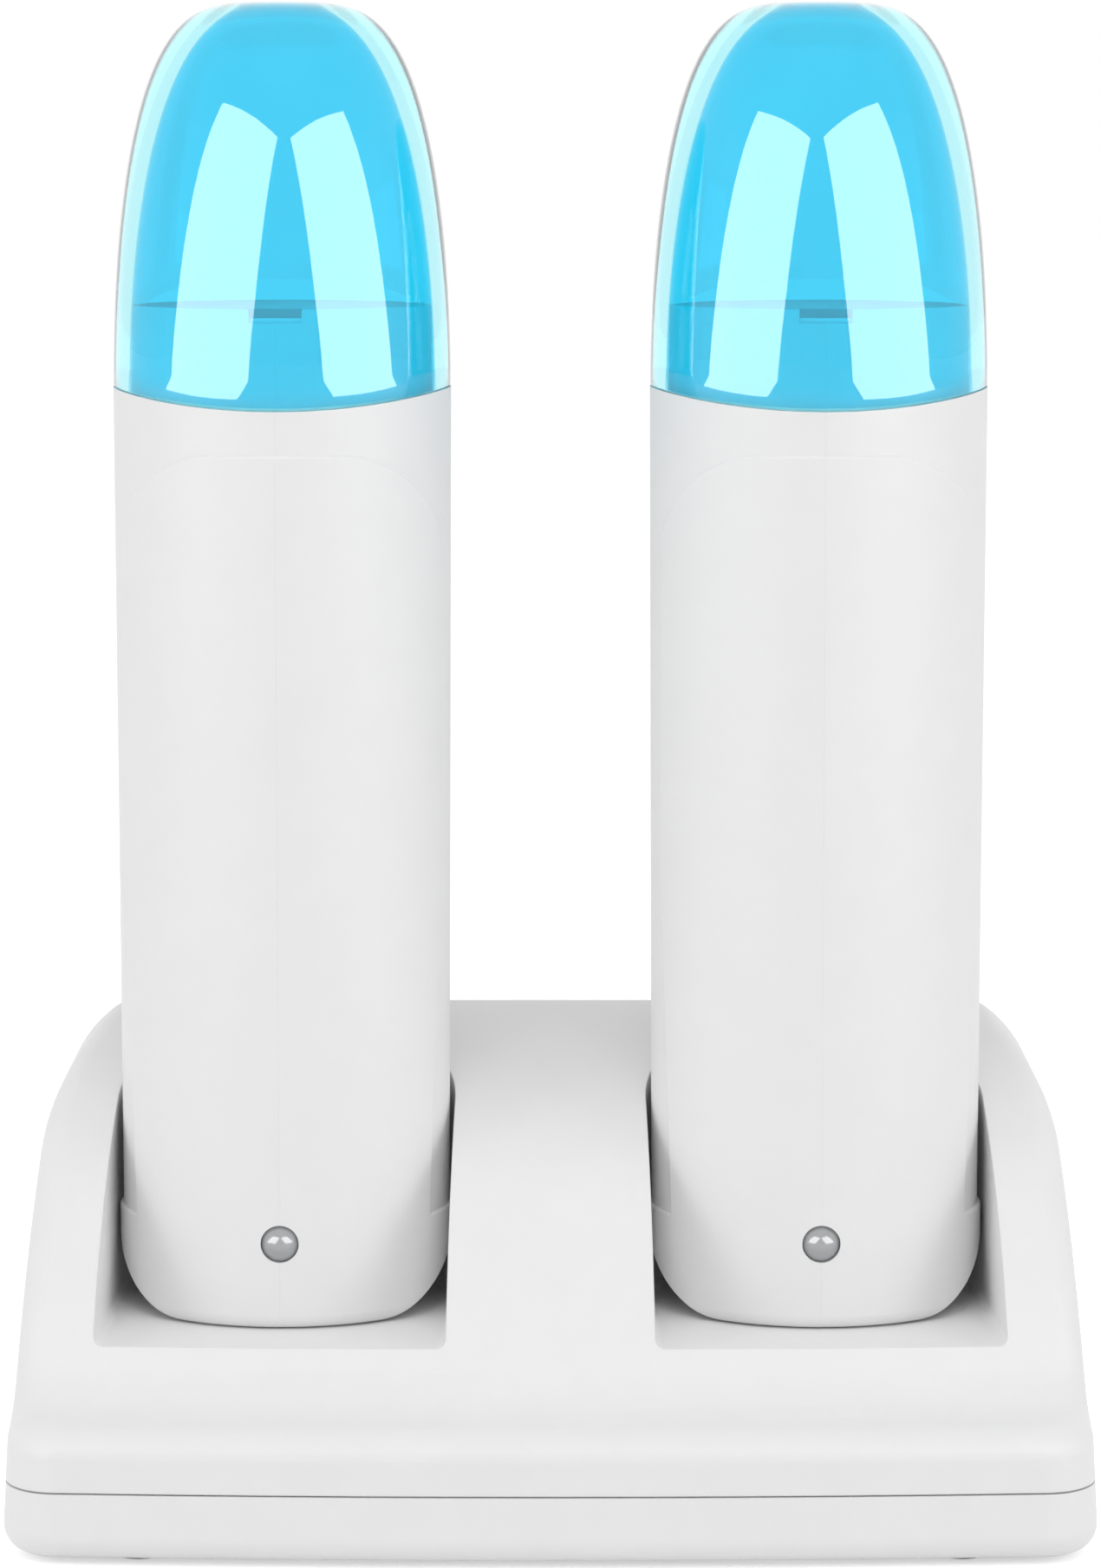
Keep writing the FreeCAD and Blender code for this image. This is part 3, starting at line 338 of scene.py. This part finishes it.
@dataclass
class Cap:
    """Clear blue cap of one heater: a domed oval shell whose rim follows the dipped parting line.

    Attributes:
        side: Heater that the cap belongs to.
        wall: Thickness at the rim.
        dome_height: Height of the dome above its foot.
        top_wall: Thickness at the top.
        outer_power: Fullness of the outer dome's shoulder.
        inner_power: Fullness of the inner dome's shoulder.
        rim_dip: How much lower the rim is at the front and back than at the sides.
        rim_round: Rounding of the rim's two edges.
        dip_fade: Height over which the dip fades out.
        columns: Points round the axis.
        dome_rows: Rows of points on each dome.
    """

    side: Side
    wall: float = 0.0026
    dome_height: float = 0.0626
    top_wall: float = 0.0009
    outer_power: float = 0.5
    inner_power: float = 0.69
    rim_dip: float = 0.0029
    rim_round: float = 0.0002
    dip_fade: float = 0.009
    columns: int = 192
    dome_rows: int = 56

    def dome(self, half: float, height: float, power: float) -> Outline:
        """Half outline of the dome from its foot to just below its top, with rows closer towards the top.

        Args:
            half: Half width at the foot.
            height: Height of the dome.
            power: Fullness of the shoulder, from 0, a cylinder, to 1, an ellipse.

        Returns:
            Reach from the axis and height above the foot, row by row.
        """
        rows = []
        for i in range(self.dome_rows):
            angle = math.pi / 2 * (1 - (1 - i / self.dome_rows) ** 2)
            rows.append((half * math.cos(angle) ** power, height * math.sin(angle)))
        return rows

    def outline(self, half: float) -> tuple[Outline, Outline]:
        """Whole outline from the top down the outside, round the rim and up the inside.

        Args:
            half: Half width of the cap at its rim.

        Returns:
            The outside with the rim, and the inside.
        """
        inner = half - self.wall
        turn = self.rim_round
        lift = turn * (1 - math.sqrt(0.5))
        outer_rows = self.dome(half, self.dome_height, self.outer_power)
        inner_rows = self.dome(inner, self.dome_height - self.top_wall, self.inner_power)
        outside = [row for row in reversed(outer_rows) if row[1] > turn]
        inside = [(inner, turn)] + [row for row in inner_rows if row[1] > turn]
        rim = [(half, turn), (half - lift, lift), (half - turn, 0.0)]
        rim += [(inner + turn, 0.0), (inner + lift, lift)]
        return outside + rim, inside

    def place(self, rows: Outline) -> list[Vector]:
        """Turns the outline round the axis of the cap's CAD node, and dips the rim at the front and back.

        Args:
            rows: Whole outline, row by row.

        Returns:
            The mesh's points: the outer top, the rows and the inner top.
        """
        low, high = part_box(self.side.node("cap"))
        centre = (low + high) / 2
        half = (high.x - low.x) / 2
        oval = (high.y - low.y) / (high.x - low.x)
        rim_radius = half ** 2 / 2 / self.rim_dip + self.rim_dip / 2
        foot = high.z - self.dome_height
        sink = foot - low.z
        points = [Vector((centre.x, centre.y, high.z))]
        for reach, rise in rows:
            follow = max(0.0, 1.0 - rise / self.dip_fade)
            for k in range(self.columns):
                angle = 2 * math.pi * k / self.columns
                x = reach * math.cos(angle)
                bow = rim_radius - math.sqrt(rim_radius ** 2 - x ** 2)
                z = foot + rise + follow * (bow - sink)
                points.append(Vector((centre.x + x, centre.y + oval * reach * math.sin(angle), z)))
        points.append(Vector((centre.x, centre.y, high.z - self.top_wall)))
        return points

    def faces(self, count: int) -> list[tuple[int, ...]]:
        """Faces of the closed shell, all turned outwards.

        Args:
            count: Number of rows between the two tops.

        Returns:
            Vertex numbers of each face.
        """
        found: list[tuple[int, ...]] = []
        last = count * self.columns + 1
        for k in range(self.columns):
            after = (k + 1) % self.columns
            found.append((0, 1 + k, 1 + after))
            for row in range(count - 1):
                here, below = 1 + row * self.columns, 1 + (row + 1) * self.columns
                found.append((here + k, below + k, below + after, here + after))
            top = 1 + (count - 1) * self.columns
            found.append((top + k, last, top + after))
        return found

    def dress(self, mesh: bpy.types.Mesh, first_inside: int, materials: Materials) -> None:
        """Gives the cap's two faces their finishes.

        Args:
            mesh: The cap's mesh.
            first_inside: Number of the first point on the inside.
            materials: Material of each finish.
        """
        for name in ("cap_blue", "cap_blue_inside"):
            mesh.materials.append(materials[name])
        for face in mesh.polygons:
            face.material_index = int(min(face.vertices) >= first_inside)

    def build(self, materials: Materials) -> None:
        """Makes the cap in place of its CAD node, riding on its body.

        Args:
            materials: Material of each finish.
        """
        low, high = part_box(self.side.node("cap"))
        outside, inside = self.outline((high.x - low.x) / 2)
        rows = outside + inside
        mesh = bpy.data.meshes.new(self.side.node("clear_cap"))
        mesh.from_pydata(self.place(rows), [], self.faces(len(rows)))
        mesh.shade_smooth()
        self.dress(mesh, 1 + len(outside) * self.columns, materials)
        cap = add_object(mesh)
        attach(cap, self.side.node("cap"))
        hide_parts(self.side.node("cap"))
        LOG.info("built %s", cap.name)


def dress_body(body: str, materials: Materials) -> None:
    """Gives each CAD node of a body its finish.

    Args:
        body: Name of the body.
        materials: Material of each finish.
    """
    slots = {subpart["node"]: subpart["material_slot"] for subpart in frame["record"]["subparts"]}
    for name in frame["record"]["behaviour"]["bodies"][body]:
        node = frame["nodes"][name]
        node.data.materials.clear()
        node.data.materials.append(materials[slots[name]])
        LOG.info("dressed %s in %s", name, slots[name])


@dataclass
class HandHeater:
    """One hand heater: white half shells round a heated cup, under a clear blue cap."""

    side: Side

    def build(self, materials: Materials) -> None:
        """Dresses the heater's CAD nodes and puts its clear cap on.

        Args:
            materials: Material of each finish.
        """
        for body in ("heater", "cap"):
            dress_body(self.side.node(body), materials)
        Cap(self.side).build(materials)


@dataclass
class DockingBase:
    """White double docking base with its connectors, mains inlet, wires, screws and feet."""

    body: str = "base"

    def build(self, materials: Materials) -> None:
        """Dresses the base's CAD nodes."""
        dress_body(self.body, materials)


@dataclass
class Window:
    """Tall bright window beside the camera that shows only in gloss, as a leaning four-sided patch.

    Each corner is a direction seen from the caps: degrees outwards from the front, and degrees up.

    Attributes:
        side: Side that the window stands on.
        inner_foot: Lower corner nearer to the front.
        outer_foot: Lower corner further out.
        outer_head: Upper corner further out.
        inner_head: Upper corner nearer to the front.
        facing_deg: Direction of the window's plane, outwards from the front.
        distance: How far away the plane is.
        eye_level: Height of the caps, which the directions start from.
        strength: Brightness.
    """

    side: Side
    inner_foot: Direction = (29.0, -16.0)
    outer_foot: Direction = (78.0, -16.0)
    outer_head: Direction = (42.5, 25.5)
    inner_head: Direction = (4.0, 20.0)
    facing_deg: float = 35.0
    distance: float = 0.85
    eye_level: float = 0.2
    strength: float = 8.0

    def corner(self, azimuth_deg: float, elevation_deg: float) -> Vector:
        """Point of the window's plane in a direction seen from the caps.

        Args:
            azimuth_deg: Angle from the front, outwards on this side.
            elevation_deg: Angle above the level of the caps.

        Returns:
            The point.
        """
        azimuth, elevation = math.radians(azimuth_deg), math.radians(elevation_deg)
        facing = math.radians(self.facing_deg)
        sign = self.side.sign
        ray = Vector((sign * math.sin(azimuth), -math.cos(azimuth), math.tan(elevation)))
        normal = Vector((sign * math.sin(facing), -math.cos(facing), 0.0))
        return Vector((0.0, 0.0, self.eye_level)) + ray * (self.distance / ray.dot(normal))

    def build(self) -> None:
        """Makes the window as a glowing sheet that only gloss sees."""
        angles = (self.inner_foot, self.outer_foot, self.outer_head, self.inner_head)
        mesh = bpy.data.meshes.new(self.side.node("window"))
        mesh.from_pydata([self.corner(*angle) for angle in angles], [], [(0, 1, 2, 3)])
        sheet = NodeSheet(mesh.name)
        mesh.materials.append(sheet.finish(sheet.add("Emission", {"Strength": self.strength})))
        window = add_object(mesh)
        for kind in ("camera", "diffuse", "transmission", "shadow"):
            setattr(window, f"visible_{kind}", False)


@dataclass
class Studio:
    """Pale floor, white surround, three soft boxes, two windows and the camera.

    Attributes:
        axis_y: Depth of the point that the camera's distance is measured from.
        distance: Distance of the camera.
        camera_height: Height of the camera.
        pitch_deg: How far the camera looks down.
        lens: Focal length in millimetres.
        shift_y: Upward shift of the view, as a share of its longer side.
        surround_light: Strength of the even light from all round.
        box_azimuth_deg: Direction of the side boxes, outwards from the front.
        box_distance: Distance of the side boxes.
        box_width: Width of the side boxes.
        box_height: Height of the side boxes.
        box_centre: Height of their middle.
        box_power: Power of each in watts.
        overhead_size: Side of the overhead box.
        overhead_height: Height of the overhead box.
        overhead_forward: How far it stands in front of the object.
        overhead_power: Its power in watts.
        floor_size: Side of the floor.
        floor_colour: Colour of the floor.
        floor_roughness: Roughness of the floor.
        floor_lift: Glow that makes the floor look white to the eye.
    """

    axis_y: float = 0.005
    distance: float = 0.750
    camera_height: float = 0.2302
    pitch_deg: float = 5.57
    lens: float = 104.5
    shift_y: float = -0.15
    surround_light: float = 0.63
    box_azimuth_deg: float = 68.0
    box_distance: float = 1.1
    box_width: float = 0.6
    box_height: float = 0.7
    box_centre: float = 0.35
    box_power: float = 2.3
    overhead_size: float = 0.9
    overhead_height: float = 1.1
    overhead_forward: float = 0.45
    overhead_power: float = 3.6
    floor_size: float = 12.0
    floor_colour: Colour = (0.90, 0.90, 0.90)
    floor_roughness: float = 0.9
    floor_lift: float = 0.48

    def camera(self) -> None:
        """Sets up the photograph's viewing angle."""
        data = bpy.data.cameras.new("camera")
        data.lens = self.lens
        data.shift_y = self.shift_y
        camera = add_object(data)
        pitch = math.radians(self.pitch_deg)
        camera.location = (0.0, self.axis_y - self.distance * math.cos(pitch), self.camera_height)
        camera.rotation_euler = (math.pi / 2 - pitch, 0.0, 0.0)
        bpy.context.scene.camera = camera

    def surround(self) -> None:
        """White all round for the eye and for reflections, and a soft even light for the rest."""
        world = bpy.data.worlds.new("surround")
        bpy.context.scene.world = world
        world.use_nodes = True
        tree = world.node_tree
        light = tree.nodes["Background"]
        light.inputs["Color"].default_value = WHITE
        level = ranged(tree, unlit_share(tree), self.surround_light, 1.0)
        tree.links.new(level, light.inputs["Strength"])

    def soft_light(self, name: str, width: float, height: float, power: float) -> bpy.types.Object:
        """Adds a soft rectangular lamp that gloss doesn't show.

        Args:
            name: Name of the lamp.
            width: First side.
            height: Second side.
            power: Power in watts.

        Returns:
            The lamp, still at the origin.
        """
        data = bpy.data.lights.new(name, "AREA")
        data.shape = "RECTANGLE"
        data.size = width
        data.size_y = height
        data.energy = power
        lamp = add_object(data)
        lamp.visible_glossy = False
        return lamp

    def side_light(self, side: Side) -> None:
        """Adds an upright soft box to one side that faces the object.

        Args:
            side: Side that it stands on.
        """
        lamp = self.soft_light(side.node("soft_box"), self.box_width, self.box_height, self.box_power)
        angle = math.radians(side.sign * self.box_azimuth_deg)
        reach = self.box_distance
        lamp.location = (reach * math.sin(angle), -reach * math.cos(angle), self.box_centre)
        lamp.rotation_euler = (math.pi / 2, 0.0, angle)

    def overhead_light(self) -> None:
        """Adds a soft box above and in front that is tilted towards the object."""
        lamp = self.soft_light("overhead_box", self.overhead_size, self.overhead_size, self.overhead_power)
        lamp.location = (0.0, -self.overhead_forward, self.overhead_height)
        lamp.rotation_euler = (math.atan2(self.overhead_forward, self.overhead_height), 0.0, 0.0)

    def floor(self) -> None:
        """Plain floor that looks white to the eye and takes the object's shadow."""
        mesh = bpy.data.meshes.new("floor")
        half = self.floor_size / 2
        corners = [(-half, -half, 0.0), (half, -half, 0.0), (half, half, 0.0), (-half, half, 0.0)]
        mesh.from_pydata(corners, [], [(0, 1, 2, 3)])
        sheet = NodeSheet("floor")
        lift = ranged(sheet.tree, unlit_share(sheet.tree), 0.0, self.floor_lift)
        mesh.materials.append(sheet.finish(sheet.add("BsdfPrincipled", {
            "Base Color": (*self.floor_colour, 1.0),
            "Roughness": self.floor_roughness,
            "Emission Color": WHITE,
            "Emission Strength": lift,
        })))
        floor = add_object(mesh)

    def build(self) -> None:
        """Makes the whole studio."""
        self.camera()
        self.surround()
        self.floor()
        self.overhead_light()
        for side in Side:
            self.side_light(side)
            Window(side).build()


def main() -> None:
    """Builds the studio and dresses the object."""
    logging.basicConfig(level=logging.INFO, format="%(message)s")
    bpy.context.scene.view_settings.view_transform = "Standard"
    Studio().build()
    materials = {finish.slot: finish.make() for finish in finishes()}
    DockingBase().build(materials)
    for side in Side:
        HandHeater(side).build(materials)
    bpy.context.view_layer.update()


if __name__ == "__main__":
    main()
